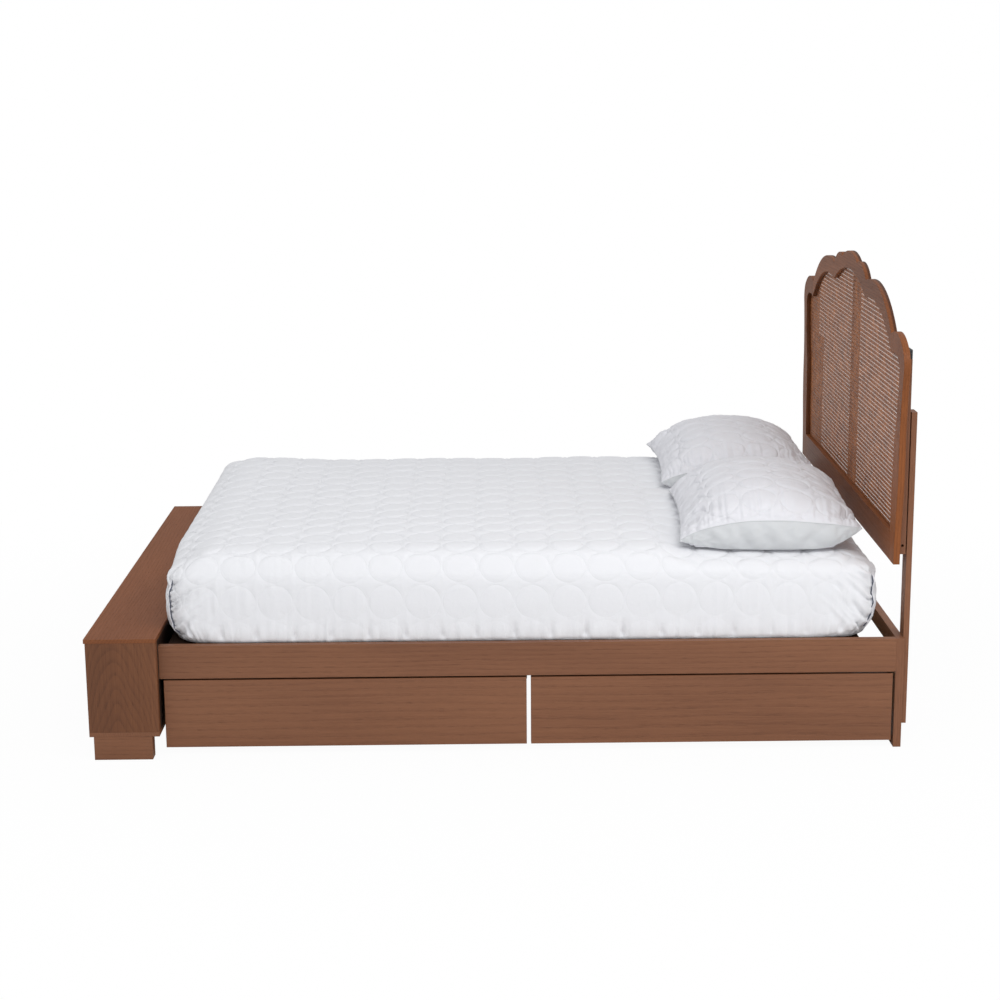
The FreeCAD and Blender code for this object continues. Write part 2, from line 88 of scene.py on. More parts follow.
def wrinkles(u, v, depth, seed):
    """Round swells and sharp valleys, as gathered cloth has, about zero and some depth in height."""
    mean = 0.6
    return (np.sqrt(np.abs(noise(u, v, seed))) - mean) * depth


def mesh_object(name, points, faces, smooth=True):
    mesh = bpy.data.meshes.new(name)
    mesh.from_pydata([tuple(p) for p in points], [], [tuple(f) for f in faces])
    mesh.validate()
    mesh.update()
    mesh.polygons.foreach_set("use_smooth", [smooth] * len(mesh.polygons))
    item = bpy.data.objects.new(name, mesh)
    bpy.context.scene.collection.objects.link(item)
    return item


def points_of(mesh):
    flat = np.zeros(len(mesh.vertices) * 3)
    mesh.vertices.foreach_get("co", flat)
    return flat.reshape(-1, 3)


def normals_of(mesh):
    flat = np.zeros(len(mesh.vertices) * 3)
    mesh.vertices.foreach_get("normal", flat)
    return flat.reshape(-1, 3)


def move_points(mesh, points):
    mesh.vertices.foreach_set("co", np.asarray(points, float).ravel())
    mesh.update()


def tube(name, path, radius, sides=8):
    """A round welt or cord along a line of points. radius is one value, or one for each point."""
    path = np.asarray(path, float)
    radius = np.broadcast_to(radius, len(path))[:, None, None]
    ahead = np.roll(path, -1, 0) - np.roll(path, 1, 0)
    ahead[0], ahead[-1] = path[1] - path[0], path[-1] - path[-2]
    ahead /= np.linalg.norm(ahead, axis=1)[:, None]
    off_the_path = (0.13, 0.21, 0.97)          # a direction that no path here runs in
    across = np.cross(ahead, off_the_path)
    across /= np.linalg.norm(across, axis=1)[:, None]
    up = np.cross(ahead, across)
    turns = np.arange(sides) * 2 * math.pi / sides
    rings = path[:, None] + radius * (np.cos(turns)[None, :, None] * across[:, None]
                                      + np.sin(turns)[None, :, None] * up[:, None])
    last = (len(path) - 1) * sides
    faces = []
    for ring in range(0, last, sides):
        after = ring + sides
        for side in range(sides):
            step = (side + 1) % sides
            faces.append((ring + side, ring + step, after + step, after + side))
    faces.append(tuple(range(sides))[::-1])
    faces.append(tuple(range(last, last + sides)))
    return mesh_object(name, rings.reshape(-1, 3), faces)


def place_piece(piece, material, body, replaced=None):
    """Gives a piece its material and its body, and hides the CAD node it stands for, if any."""
    piece.data.materials.append(material)
    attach(piece, body)
    if replaced:
        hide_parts(replaced)


# -------- shader nodes

def add_node(tree, kind, inputs=None, **settings):
    """A node with its settings, and its inputs set to values or linked to sockets."""
    made = tree.nodes.new("ShaderNode" + kind)
    for word, value in settings.items():
        setattr(made, word, value)
    for key, value in (inputs or {}).items():
        if isinstance(value, bpy.types.NodeSocket):
            tree.links.new(value, made.inputs[key])
        else:
            made.inputs[key].default_value = value
    return made


def calculate(tree, operation, first, second=0.0, third=None):
    inputs = {0: first, 1: second}
    if third is not None:
        inputs[2] = third
    return add_node(tree, "Math", inputs, operation=operation).outputs[0]


def product(tree, first, second):
    return calculate(tree, "MULTIPLY", first, second)


def scaled_sum(tree, value, factor, extra):
    """value * factor + extra."""
    return calculate(tree, "MULTIPLY_ADD", value, factor, extra)


def map_range(tree, value, old, new, **settings):
    """value moved from one range to another, and kept inside it."""
    inputs = {0: value, 1: old[0], 2: old[1], 3: new[0], 4: new[1]}
    return add_node(tree, "MapRange", inputs, **settings).outputs[0]


def ramp(tree, factor, stops):
    """A colour ramp through (place, colour) stops."""
    made = add_node(tree, "ValToRGB", {0: factor})
    elements = made.color_ramp.elements
    while len(elements) < len(stops):
        elements.new(0.5)
    for element, (place, colour) in zip(elements, stops):
        element.position = place
        element.color = colour if len(colour) == 4 else (*colour, 1.0)
    return made.outputs[0]


def grey(value):
    return (value, value, value, 1.0)


def darker(colour, share):
    return tuple(share * part for part in colour[:3]) + (1.0,)


def mix_colour(tree, factor, first, second):
    return add_node(tree, "Mix", {"Factor": factor, 6: first, 7: second}, data_type="RGBA").outputs[2]


def object_place(tree):
    return add_node(tree, "TexCoord").outputs["Object"]


def speckle(tree, place, scale, detail=2.0, **inputs):
    values = {"Vector": place, "Scale": scale, "Detail": detail, **inputs}
    return add_node(tree, "TexNoise", values).outputs[0]


def principled(name, **values):
    """A material with a Principled shader, and its sockets set to plain values."""
    material = bpy.data.materials.new(name)
    material.use_nodes = True
    shader = material.node_tree.nodes["Principled BSDF"]
    for word, value in values.items():
        shader.inputs[word.replace("_", " ")].default_value = value
    return material, material.node_tree, shader


def connect(tree, shader, **sockets):
    """Links sockets to the shader's inputs of the same names."""
    for word, socket in sockets.items():
        tree.links.new(socket, shader.inputs[word.replace("_", " ")])


def bump(tree, shader, height, distance, strength):
    made = add_node(tree, "Bump", {"Height": height, "Distance": distance, "Strength": strength})
    connect(tree, shader, Normal=made.outputs[0])


# -------- camera, floor and light

def make_camera():
    """6.1 m to the right of the bed's middle and 1.9 m up, looking 12.5 degrees down."""
    place = Vector((-0.0323, -6.1146, 1.9057))
    yaw, pitch, roll = -0.0073, 0.2185, 0.0079
    data = bpy.data.cameras.new("camera")
    data.lens = 71.45
    data.sensor_width = 36
    camera = bpy.data.objects.new("camera", data)
    bpy.context.scene.collection.objects.link(camera)
    turn = Matrix.Rotation(yaw, 4, "Z") @ Matrix.Rotation(math.pi / 2 - pitch, 4, "X")
    camera.matrix_world = Matrix.Translation(place) @ turn @ Matrix.Rotation(-roll, 4, "Z")
    bpy.context.scene.camera = camera


def make_world():
    """A white studio: light is strongest from above and from the bed's right side."""
    level, more_from_above, more_from_right = 0.46, 0.42, 0.08
    world = bpy.data.worlds.new("studio")
    bpy.context.scene.world = world
    world.use_nodes = True
    tree = world.node_tree
    tree.nodes.clear()
    facing = add_node(tree, "TexCoord").outputs["Generated"]
    axes = add_node(tree, "SeparateXYZ", {0: facing})
    from_above = scaled_sum(tree, axes.outputs[2], more_from_above, level)
    strength = scaled_sum(tree, axes.outputs[1], -more_from_right, from_above)
    light = add_node(tree, "Background", {"Color": (0.985, 0.99, 1.0, 1.0), "Strength": strength})
    seen = add_node(tree, "Background", {"Color": grey(1), "Strength": 1.0})
    straight = add_node(tree, "LightPath").outputs["Is Camera Ray"]
    both = add_node(tree, "MixShader", {0: straight, 1: light.outputs[0], 2: seen.outputs[0]})
    add_node(tree, "OutputWorld", {0: both.outputs[0]})


def make_floor():
    """A pale floor that keeps soft shadows under the bed and brightens to white a few metres out."""
    radius, sides = 30.0, 96
    bright_from, bright_to, least_bright = 0.9, 2.6, 0.96
    turns = [2 * math.pi * step / sides for step in range(sides)]
    rim = [(radius * math.cos(turn), radius * math.sin(turn), 0.0) for turn in turns]
    floor = mesh_object("floor", rim, [range(len(rim))], smooth=False)
    material = bpy.data.materials.new("floor_paint")
    material.use_nodes = True
    tree = material.node_tree
    tree.nodes.clear()
    flattened = add_node(tree, "Mapping", {0: object_place(tree), 3: (0.75, 1.0, 1.0)}).outputs[0]
    distance = add_node(tree, "VectorMath", {0: flattened}, operation="LENGTH").outputs["Value"]
    fade = map_range(tree, distance, (bright_from, bright_to), (least_bright, 1.0),
                     interpolation_type="SMOOTHSTEP")
    fade = product(tree, fade, add_node(tree, "LightPath").outputs["Is Camera Ray"])
    paint = add_node(tree, "BsdfDiffuse", {"Color": grey(0.80)})
    glow = add_node(tree, "Emission", {"Color": grey(1), "Strength": 1.0})
    both = add_node(tree, "MixShader", {0: fade, 1: paint.outputs[0], 2: glow.outputs[0]})
    add_node(tree, "OutputMaterial", {0: both.outputs[0]})
    floor.data.materials.append(material)


def make_light(name, at, target, size, power):
    data = bpy.data.lights.new(name, "AREA")
    data.shape = "RECTANGLE"
    data.size, data.size_y = size
    data.energy = power
    lamp = bpy.data.objects.new(name, data)
    bpy.context.scene.collection.objects.link(lamp)
    lamp.location = at
    lamp.rotation_euler = (Vector(target) - Vector(at)).to_track_quat("-Z", "Y").to_euler()
    lamp.visible_camera = False


def make_lights():
    make_light("key_softbox", at=(1.1, -3.5, 4.5), target=(0.1, -0.2, 0.3), size=(5.2, 2.0), power=104)
    make_light("low_softbox", at=(0.6, -5.6, 0.9), target=(0.2, -0.8, 0.4), size=(5.0, 1.0), power=13)
    make_light("head_softbox", at=(3.4, -2.6, 2.2), target=(0.8, 0, 0.8), size=(1.4, 2.0), power=16)


# -------- materials

RAIL_TONE = (srgb(142, 95, 66), srgb(106, 66, 44))
LID_TONE = (srgb(146, 89, 54), srgb(107, 62, 36))
END_TONE = (srgb(135, 85, 52), srgb(84, 49, 29))
HEAD_TONE = (srgb(156, 92, 48), srgb(92, 50, 25))
BOX_TONE = (srgb(205, 172, 128), srgb(170, 134, 92))
# a stain taken nearly to black, so that the slats, centre beam and centre legs also paint the shade under the
# mattress
SLAT_TONE_WITH_PAINTED_SHADE = (srgb(56, 39, 31), srgb(36, 25, 20))
# a dark stain taken nearly to black, so that the foot box's back also paints the shade between the box and
# the mattress
BACK_TONE_WITH_PAINTED_SHADE = (srgb(58, 38, 28), srgb(38, 25, 19))

STRAIGHT_PITH = (-0.5, 0.06)
FIBRE_SHARE, CLOUD_SHARE, CLOUD_LEVEL = 0.58, 1.05, -0.32      # what makes up the stain's darkness
PORE_STAIN = 0.42
GRAIN_ORDER = {"x": (0, 2, 1), "y": (1, 0, 2), "y_upright": (1, 2, 0), "z": (2, 0, 1),
               "z_crosswise": (2, 1, 0)}


def grain_axes(tree, grain, shift):
    """Object coordinates as (along the grain, across it, through the board), moved so boards differ."""
    moved = add_node(tree, "VectorMath", {0: object_place(tree), 1: shift}, operation="ADD").outputs[0]
    axes = add_node(tree, "SeparateXYZ", {0: moved}).outputs
    return [axes[index] for index in GRAIN_ORDER[grain]]


def stretched_noise(tree, axes, along, across, detail=2.0, roughness=0.5):
    """Noise with one scale along the grain and another across it and through the board, per metre."""
    scaled = [product(tree, axis, scale) for axis, scale in zip(axes, (along, across, across))]
    joined = add_node(tree, "CombineXYZ", dict(enumerate(scaled))).outputs[0]
    return speckle(tree, joined, 1.0, detail, Roughness=roughness)


def wood(name, seed, grain, tone=RAIL_TONE, pith=STRAIGHT_PITH, slope=0.0, ring=0.006, rough=0.46, gloss=0.32,
         coat=0.03, figure=0.13, wild=0.030, frame_edges=None):
    """Ash with a stain: growth rings about a heart line, open pores in the early wood and fine fibre.

    tone is its light and dark colour. pith is where the heart lies across and through the board. Far away it
    gives straight grain; close by, and tilted by slope, it draws arches. ring is the rings' width, figure how
    much darker the early wood is, and wild how far the rings stray from true circles, in metres. frame_edges
    darkens a headboard piece's sawn edges, part stain and part painted shade, and says how much darker they
    are at their back, where it paints a dark rim of reflection.
    """
    material, tree, shader = principled(name, Coat_Weight=coat, Coat_Roughness=0.30, Specular_IOR_Level=gloss)
    random = np.random.RandomState(seed)
    shift = tuple(random.uniform(-0.4, 0.4, 3)) if pith == STRAIGHT_PITH else (0, 0, 0)
    axes = along, across, through = grain_axes(tree, grain, shift)

    # growth rings: each starts with pale, open early wood
    drift = stretched_noise(tree, axes, 1.3, 5.0)
    ripple = stretched_noise(tree, axes, 5.0, 26.0, 1.0)
    wander = scaled_sum(tree, drift, wild, product(tree, ripple, 3.5 * MM))
    side = calculate(tree, "SUBTRACT", across, pith[0])
    depth = scaled_sum(tree, along, slope, calculate(tree, "SUBTRACT", through, pith[1]))
    squares = scaled_sum(tree, side, side, product(tree, depth, depth))
    radius = calculate(tree, "ADD", calculate(tree, "SQRT", squares), wander)
    phase = calculate(tree, "FRACT", calculate(tree, "DIVIDE", radius, ring))
    early = ramp(tree, phase, ((0.0, grey(1)), (0.10, grey(0.85)), (0.42, grey(0.12)), (0.90, grey(0)),
                               (1.0, grey(0.9))))

    # colour: fibre, clouds of stain and pores, and on the headboard's edges some painted shade
    fibre = stretched_noise(tree, axes, 7.0, 240.0, 3.0, 0.6)
    pore_noise = stretched_noise(tree, axes, 34.0, 1100.0, 1.0)
    pore = ramp(tree, pore_noise, ((0.56, grey(0)), (0.66, grey(1))))
    pores = product(tree, pore, scaled_sum(tree, early, 0.75, 0.25))
    cloud = stretched_noise(tree, axes, 0.9, 4.0, 3.0)
    mottled = scaled_sum(tree, fibre, FIBRE_SHARE, scaled_sum(tree, cloud, CLOUD_SHARE, CLOUD_LEVEL))
    darkness = scaled_sum(tree, early, figure, mottled)
    light, dark = tone
    base = mix_colour(tree, calculate(tree, "MINIMUM", darkness, 1.0), light, dark)
    pore_and_edge_shade_colour = darker(dark, 0.38)
    wood_colour = mix_colour(tree, product(tree, pores, PORE_STAIN), base, pore_and_edge_shade_colour)
    # the headboard's sawn edges: partly end-grain stain, partly painted shade, and at the crest's back a
    # painted dark rim of reflection
    if frame_edges is not None:
        wood_colour = mix_colour(tree, frame_edge_stain_and_painted_shade(tree, frame_edges), wood_colour, pore_and_edge_shade_colour)

    uneven = scaled_sum(tree, fibre, 0.14, scaled_sum(tree, pores, 0.16, rough - 0.07))
    connect(tree, shader, Base_Color=wood_colour, Roughness=uneven)
    hollow = scaled_sum(tree, pores, -0.8, product(tree, early, -0.25))
    bump(tree, shader, scaled_sum(tree, fibre, 0.35, hollow), 0.25 * MM, 0.7)
    return material


def frame_edge_stain_and_painted_shade(tree, at_back):
    """How much darker the headboard's edges are, from 0 to 1: some on the sides of the opening, part stain in
    the end grain and part painted shade, and at_back toward the back of the outer edge, a painted dark rim of
    reflection."""
    in_opening = 0.62
    source = add_node(tree, "TexCoord").outputs
    place = add_node(tree, "SeparateXYZ", {0: source["Object"]}).outputs
    facing = add_node(tree, "SeparateXYZ", {0: source["Normal"]}).outputs
    back_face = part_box("headboard_stile_right")[1].x
    back = map_range(tree, place[0], (back_face - 10 * MM, back_face - 6 * MM), (0.0, at_back))
    edge_on = calculate(tree, "SUBTRACT", 1.0, calculate(tree, "ABSOLUTE", facing[0]))
    inward = product(tree, product(tree, facing[1], place[1]), -1.0)
    inside = map_range(tree, inward, (0.05, 0.35), (0.0, in_opening))
    return product(tree, edge_on, calculate(tree, "MAXIMUM", back, inside))


# The wooden nodes, by how their grain runs.
GRAINS = {
    "x": ("foot_box_feet", "side_rail_left", "side_rail_right", "slat_ledgers", "centre_beam"),
    "y": ("foot_box_top", "foot_box_floor", "slats"),
    "y_upright": ("foot_box_back", "head_rail", "headboard_crest_rail", "headboard_bottom_rail", "cane_bead"),
    "z": ("foot_box_end_left", "foot_box_end_right", "foot_box_dividers", "head_leg_left", "head_leg_right"),
    "z_crosswise": ("centre_legs", "headboard_stile_left", "headboard_stile_right", "headboard_centre_batten",
                    "headboard_batten_left", "headboard_batten_right", "headboard_post_left",
                    "headboard_post_right"),
}
WOODEN = {node: dict(grain=grain) for grain, nodes in GRAINS.items() for node in nodes}
for drawer in ("left_foot", "left_head", "right_foot", "right_head"):
    WOODEN[f"drawer_{drawer}_front"] = dict(grain="x", ring=0.012)
    WOODEN[f"drawer_{drawer}_sides"] = dict(grain="y_upright", tone=BOX_TONE, rough=0.5, coat=0.0)
    WOODEN[f"drawer_{drawer}_bottom"] = dict(grain="x", tone=BOX_TONE, rough=0.5, coat=0.0)
for side in ("left", "right"):
    WOODEN["side_rail_" + side].update(ring=0.010)
    WOODEN["foot_box_end_" + side].update(tone=END_TONE, ring=0.011, figure=0.12, wild=0.120)
for board in ("crest_rail", "stile_left", "stile_right", "bottom_rail"):
    # the headboard's edges take painted shade inside the opening; the crest's also take a painted dark rim at
    # its back
    WOODEN["headboard_" + board].update(tone=HEAD_TONE, ring=0.008, gloss=0.18, frame_edges=0.0)
WOODEN["headboard_crest_rail"].update(frame_edges=0.9)
WOODEN["foot_box_end_left"].update(pith=(-1.045, 0.79), slope=0.22)
WOODEN["foot_box_end_right"].update(pith=(-1.055, -0.80), slope=-0.24)
WOODEN["foot_box_top"].update(tone=LID_TONE, pith=(-1.20, 0.42), ring=0.009, rough=0.56, gloss=0.22, coat=0.0)
WOODEN["foot_box_feet"].update(ring=0.005)
# near-black, painting the shade behind the foot box as well as a stain
WOODEN["foot_box_back"].update(tone=BACK_TONE_WITH_PAINTED_SHADE)
WOODEN["cane_bead"].update(tone=HEAD_TONE)
# near-black, painting the shade under the mattress as well as a stain
WOODEN["centre_beam"].update(tone=SLAT_TONE_WITH_PAINTED_SHADE)
WOODEN["centre_legs"].update(tone=SLAT_TONE_WITH_PAINTED_SHADE)
WOODEN["slats"].update(tone=SLAT_TONE_WITH_PAINTED_SHADE, rough=0.80, gloss=0.05, coat=0.0)


def brushed_steel(name):
    material, tree, shader = principled(name, Metallic=1.0)
    place = object_place(tree)
    speck = speckle(tree, place, 900.0)
    tone = ramp(tree, speckle(tree, place, 60.0, 3.0), ((0.3, (0.50, 0.50, 0.49)), (0.7, (0.66, 0.66, 0.64))))
    connect(tree, shader, Base_Color=tone, Roughness=scaled_sum(tree, speck, 0.25, 0.22))
    bump(tree, shader, speck, 0.05 * MM, 0.5)
    return material


def moulded_plastic(name, dark, light, rough):
    material, tree, shader = principled(name)
    place = object_place(tree)
    stipple = speckle(tree, place, 1600.0)
    tone = ramp(tree, speckle(tree, place, 45.0), ((0.35, dark), (0.65, light)))
    connect(tree, shader, Base_Color=tone, Roughness=scaled_sum(tree, stipple, 0.2, rough))
    bump(tree, shader, stipple, 0.08 * MM, 0.6)
    return material


def cane_material(name):
    """Rattan skin: long fibre streaks, a satin skin and a little change of tone from strand to strand."""
    material, tree, shader = principled(name, Coat_Weight=0.15, Coat_Roughness=0.35)
    place = object_place(tree)
    streak = speckle(tree, place, 420.0)
    patch = speckle(tree, place, 26.0, 3.0)
    tone = scaled_sum(tree, streak, 0.5, product(tree, patch, 0.5))
    stops = ((0.30, srgb(98, 54, 26)), (0.50, srgb(144, 84, 42)), (0.72, srgb(188, 119, 66)))
    connect(tree, shader, Base_Color=ramp(tree, tone, stops), Roughness=scaled_sum(tree, streak, 0.2, 0.36))
    bump(tree, shader, streak, 0.1 * MM, 0.5)
    return material


def fabric(name, colour, crease=0.4, stitched=False):
    """White microfibre: a fine plain weave, soft creases, a slight sheen and, if stitched, the sunk thread of
    the quilting."""
    weave_turn, thread_sunk = 5200.0, 0.9          # radians of weave in a metre; share of the bump's distance
    material, tree, shader = principled(name, Roughness=0.85, Sheen_Weight=0.08, Sheen_Roughness=0.5,
                                        Specular_IOR_Level=0.25)
    place = object_place(tree)
    threads = []
    for axis in add_node(tree, "SeparateXYZ", {0: place}).outputs:
        turned = product(tree, axis, weave_turn)
        threads.append(calculate(tree, "SINE", turned))
    weave = product(tree, threads[0], calculate(tree, "ADD", threads[1], threads[2]))
    soft = speckle(tree, place, 38.0, 4.0, Distortion=0.6)
    slub = speckle(tree, place, 700.0)
    tint = mix_colour(tree, product(tree, slub, 0.5), colour, darker(colour, 0.93))
    connect(tree, shader, Base_Color=tint)
    fine = scaled_sum(tree, weave, 0.06, product(tree, slub, 0.12))
    height = scaled_sum(tree, soft, crease * 4, fine)
    if stitched:
        away = add_node(tree, "Attribute", attribute_name="from_stitch").outputs["Fac"]
        thread = map_range(tree, calculate(tree, "ABSOLUTE", away), (0.3 * MM, 3.0 * MM), (1.0, 0.0),
                           interpolation_type="SMOOTHSTEP")
        depth = add_node(tree, "Attribute", attribute_name="stitch_depth").outputs["Fac"]
        height = scaled_sum(tree, product(tree, thread, depth), -thread_sunk, height)
    bump(tree, shader, height, 1.1 * MM, 0.55)
    return material


def dress_cad_nodes():
    """Gives every carried-over CAD node its material, and rounds its sharp edges a little."""
    steel = brushed_steel("zinc_plated_steel")
    caps = moulded_plastic("black_cap_plastic", (0.010, 0.010, 0.011), (0.018, 0.018, 0.020), 0.38)
    wheels = moulded_plastic("grey_wheel_plastic", (0.045, 0.046, 0.050), (0.07, 0.07, 0.075), 0.34)
    for index, (node, item) in enumerate(sorted(NODES.items())):
        if node in WOODEN:
            material, edge = wood("ash_" + node, index, **WOODEN[node]), 0.9 * MM
        elif node in ("rail_brackets", "rail_bracket_bolts", "post_spacers", "headboard_bolts"):
            material, edge = steel, 0.35 * MM
        elif node.endswith("_caster_forks"):
            material, edge = steel, 0.3 * MM
        elif node == "batten_caps":
            material, edge = caps, 1.5 * MM
        elif "_wheels_" in node:
            material, edge = wheels, 0.5 * MM
        else:
            continue
        item.data.materials.clear()
        item.data.materials.append(material)
        weld = item.modifiers.new("weld", "WELD")
        weld.merge_threshold = 0.01 * MM
        bevel = item.modifiers.new("eased_edges", "BEVEL")
        bevel.width = edge
        bevel.segments = 2
        bevel.limit_method = "ANGLE"
        bevel.angle_limit = math.radians(35)


# -------- woven cane

CANE_PITCH = 12.7 * MM
CANE_REACH = 1.6                   # farther than the panel's far corners, from the middle of the floor
STRAND_WIDE = 2.9 * MM
STRAND_THICK = 0.86 * MM
STRAND_SWING = 0.34 * MM           # how far a strand moves to either side as it goes over and under
STRAND_SECTION = ((-0.5, -0.5), (0.5, -0.5), (0.42, 0.20), (0.0, 0.5), (-0.42, 0.20))
PAIR = (-1.65 * MM, 1.65 * MM)
DIAGONAL_WIDE = 3.3 * MM


def outline_of(node, low_x):
    """The (y, z) outline of a flat node's face that lies at low_x."""
    mesh = NODES[node].data
    points = np.round(points_of(mesh), 6)
    edges = set()
    for face in mesh.polygons:
        corners = [tuple(points[index]) for index in face.vertices]
        if all(abs(corner[0] - low_x) < 0.01 * MM for corner in corners):
            for first, second in zip(corners, corners[1:] + corners[:1]):
                edges.add((first[1:], second[1:]))
    rim = {first: second for first, second in sorted(edges) if (second, first) not in edges}
    start = next(iter(rim))
    line = [start]
    while rim[line[-1]] != start:
        line.append(rim[line[-1]])
    return np.array(line)


def spans(outline, start, direction):
    """Where a line lies inside the outline, as (from, to) distances along it."""
    after = np.roll(outline, -1, 0)
    side = (outline - start) @ np.array((-direction[1], direction[0]))
    side_after = (after - start) @ np.array((-direction[1], direction[0]))
    crossing = (side > 0) != (side_after > 0)
    share = side[crossing] / (side[crossing] - side_after[crossing])
    met = outline[crossing] + share[:, None] * (after - outline)[crossing]
    distances = np.sort((met - start) @ direction)
    return list(zip(distances[0::2], distances[1::2]))


def over_under(line, numbers):
    """Which side of the panel a strand of a pair is on at its numbered crossings: -1, 0 or 1."""
    return np.where(numbers % 2 == 0, 0.0, np.where((numbers // 2 + line) % 2 == 0, 1.0, -1.0))


def under_over(line, numbers):
    return -over_under(line, numbers)


def every_other(line, numbers):
    return np.where(numbers % 2 == 0, 1.0, -1.0)


def strand_family(name, outline, middle_x, turn, offsets, width, sign_at, half):
    """All the strands that run one way, each a flat-backed round-topped strip woven over and under.

    half is (axis, level, above) and keeps only the strands whose middles lie above the level, or not above.
    """
    direction = np.array((math.cos(turn), math.sin(turn)))
    normal = np.array((-direction[1], direction[0]))
    diagonal = abs(math.sin(2 * turn)) >= 0.5
    spacing = CANE_PITCH / math.sqrt(2) if diagonal else CANE_PITCH
    step = spacing / 2
    reach = int(CANE_REACH / spacing)
    profile = np.array(STRAND_SECTION)
    sides = len(profile)
    points, faces, base = [], [], 0
    for line in range(-reach, reach + 1):
        for offset in offsets:
            start = normal * ((line + 0.5) * spacing + offset)
            for begin, end in spans(outline, start, direction):
                if end - begin < step:
                    continue
                whole = np.arange(math.ceil(begin / step + 0.2), math.floor(end / step - 0.2) + 1)
                stations = np.concatenate(((begin,), whole * step, (end,)))
                numbers = np.zeros(2)
                if len(whole):
                    numbers = np.concatenate(((whole[0] - 1,), whole, (whole[-1] + 1,)))
                middle = start + stations[:, None] * direction
                if half and (middle.mean(0)[half[0]] >= half[1]) != half[2]:
                    continue
                lift = sign_at(line, numbers) * STRAND_SWING
                lateral = middle[:, None] + profile[:, :1] * width * normal
                depth = middle_x - lift[:, None] - profile[:, 1] * STRAND_THICK
                points.append(np.concatenate((depth[..., None], lateral), 2).reshape(-1, 3))
                ring = np.arange(len(stations) - 1)[:, None] * sides
                side = np.arange(sides)[None]
                after = (side + 1) % sides
                quads = np.stack((ring + side, ring + after, ring + sides + after, ring + sides + side), 2)
                faces.append(quads.reshape(-1, 4) + base)
                base += len(points[-1])
    return mesh_object(name, np.concatenate(points), np.concatenate(faces))


def make_cane():
    """Half-inch octagonal webbing: upright pairs, level pairs and two diagonals, open between them."""
    low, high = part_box("cane_panel")
    outline = outline_of("cane_panel", round(low.x, 6))
    middle_x, middle_z = (low.x + high.x) / 2, (low.z + high.z) / 2
    material = cane_material("woven_cane")
    families = (
        ("cane_uprights_right", -math.pi / 2, PAIR, STRAND_WIDE, over_under, (0, 0.0, False)),
        ("cane_uprights_left", -math.pi / 2, PAIR, STRAND_WIDE, over_under, (0, 0.0, True)),
        ("cane_levels_low", 0.0, PAIR, STRAND_WIDE, under_over, (1, middle_z, False)),
        ("cane_levels_high", 0.0, PAIR, STRAND_WIDE, under_over, (1, middle_z, True)),
        ("cane_diagonals_rising", math.pi / 4, (0.0,), DIAGONAL_WIDE, every_other, None),
        ("cane_diagonals_falling", -math.pi / 4, (0.0,), DIAGONAL_WIDE, every_other, None),
    )
    for name, *facts in families:
        piece = strand_family(name, outline, middle_x, *facts)
        place_piece(piece, material, "bed_frame", replaced="cane_panel")


# -------- mattress in its quilted cover

QUILT_PITCH = 102.5 * MM
QUILT_RADIUS = 47.8 * MM
QUILT_SHIFT = (21.5 * MM, -23 * MM)      # brings a whole row of circles onto the side, under the crisp edge
# The cover's side as (offset outwards from the nominal side, height above the mattress's bottom), in mm, from
# the edge of the flat top to the hem.
COVER_PROFILE = ((-150, 240), (-120, 238), (-90, 233), (-58, 225), (-32, 216), (-14, 207), (-4, 197),
                 (1, 184), (4, 165), (6, 140), (8, 112), (9, 84), (11, 56), (14, 30), (15, 12), (9, 1.5))
COVER_CELL = 5.1 * MM
COVER_BACKING = 3.5 * MM  # the relief starts this far inside the plain shape
TOP_INSET = 150 * MM
TOP_CORNER = 55 * MM
SIDE_CORNER = 64 * MM
TOP_CROWN = 10 * MM
NEAR_LIFT = 24 * MM
FAR_SHOULDER = 9 * MM
FAR_FOOT_RISE = 11 * MM
FOOT_BULGE = 22 * MM
CORNER_DRAW = (42 * MM, 10 * MM)
HEM_RISE = 11 * MM
SEAM_SHIFT = 0.12         # how far round the corner each seam lies, as a share of the top's corner square
SEAM_TOP = 196 * MM


def quilting(across, along, seed, puff, groove):
    """How far a padded cloth stands off its backing, full inside each stitched circle and between them, and
    how far each point is from the stitching."""
    across = across + 3.0 * MM * noise(across / 0.16, along / 0.16, seed)
    along = along + 3.0 * MM * noise(across / 0.16 + 9, along / 0.16 + 5, seed + 1)
    column, row = np.floor(across / QUILT_PITCH), np.floor(along / QUILT_PITCH)
    x = across - (column + 0.5) * QUILT_PITCH
    y = along - (row + 0.5) * QUILT_PITCH
    from_stitch = np.hypot(x, y) - QUILT_RADIUS
    ring = np.abs(from_stitch)
    plump = 1 + 0.35 * noise(column * 0.7 + 3, row * 0.7 + 11, seed + 2)
    height = puff * plump * (1 - np.exp(-ring / (8 * MM))) - groove * bell(ring, 3.4 * MM)
    return height, from_stitch


def keep_stitches(mesh, from_stitch, depth):
    """Stores how far each point is from the nearest line of quilting, and how deep that is, from 0 to 1, for
    the cloth's material."""
    mesh.attributes.new("from_stitch", "FLOAT", "POINT").data.foreach_set("value", from_stitch)
    mesh.attributes.new("stitch_depth", "FLOAT", "POINT").data.foreach_set("value", depth)


def near_lift(inward):
    """How much fuller the cover is behind its near edge than elsewhere, by the distance in from that edge."""
    fading = 0.5 * smoothstep(60 * MM, 200 * MM, inward) + 0.5 * smoothstep(200 * MM, 700 * MM, inward)
    return NEAR_LIFT * smoothstep(2 * MM, 45 * MM, inward) * (1 - fading)


